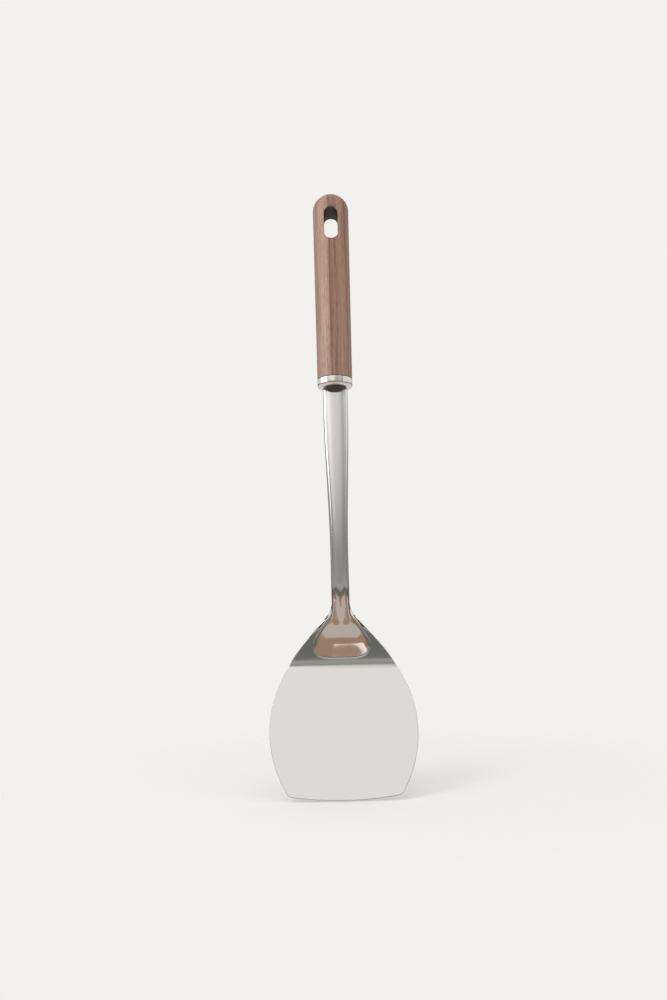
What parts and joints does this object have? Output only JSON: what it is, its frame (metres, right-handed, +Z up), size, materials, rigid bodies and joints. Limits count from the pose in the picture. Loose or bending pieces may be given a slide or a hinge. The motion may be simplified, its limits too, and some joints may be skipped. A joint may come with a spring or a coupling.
{
  "type": "cooking spatula",
  "caption": "Wok spatula: broad curved-edge steel blade pressed in one sheet with its channelled shank, on a round wooden handle with a hang slot.",
  "frame": {"origin": "upper end of the hang slot, on the handle's axis", "axes": "+Z up, the food side faces -Y, and the blade's width lies along X. As in the picture, the handle leans back 12.8 degrees from +Z towards +Y and the blade 36 degrees"},
  "size_m": [0.09, 0.1262, 0.3786],
  "materials": {
    "blade_steel": "polished stainless steel sheet",
    "ferrule_steel": "mirror-polished stainless steel",
    "seal": "moulded black nylon",
    "bond": "cured epoxy",
    "walnut": "oiled walnut, matte"
  },
  "bodies": {
    "root": {"blade_and_shank": "blade_steel", "ferrule": "ferrule_steel", "mouth_seal": "seal", "tang_bond": "bond", "handle": "walnut"}
  },
  "joints": []
}
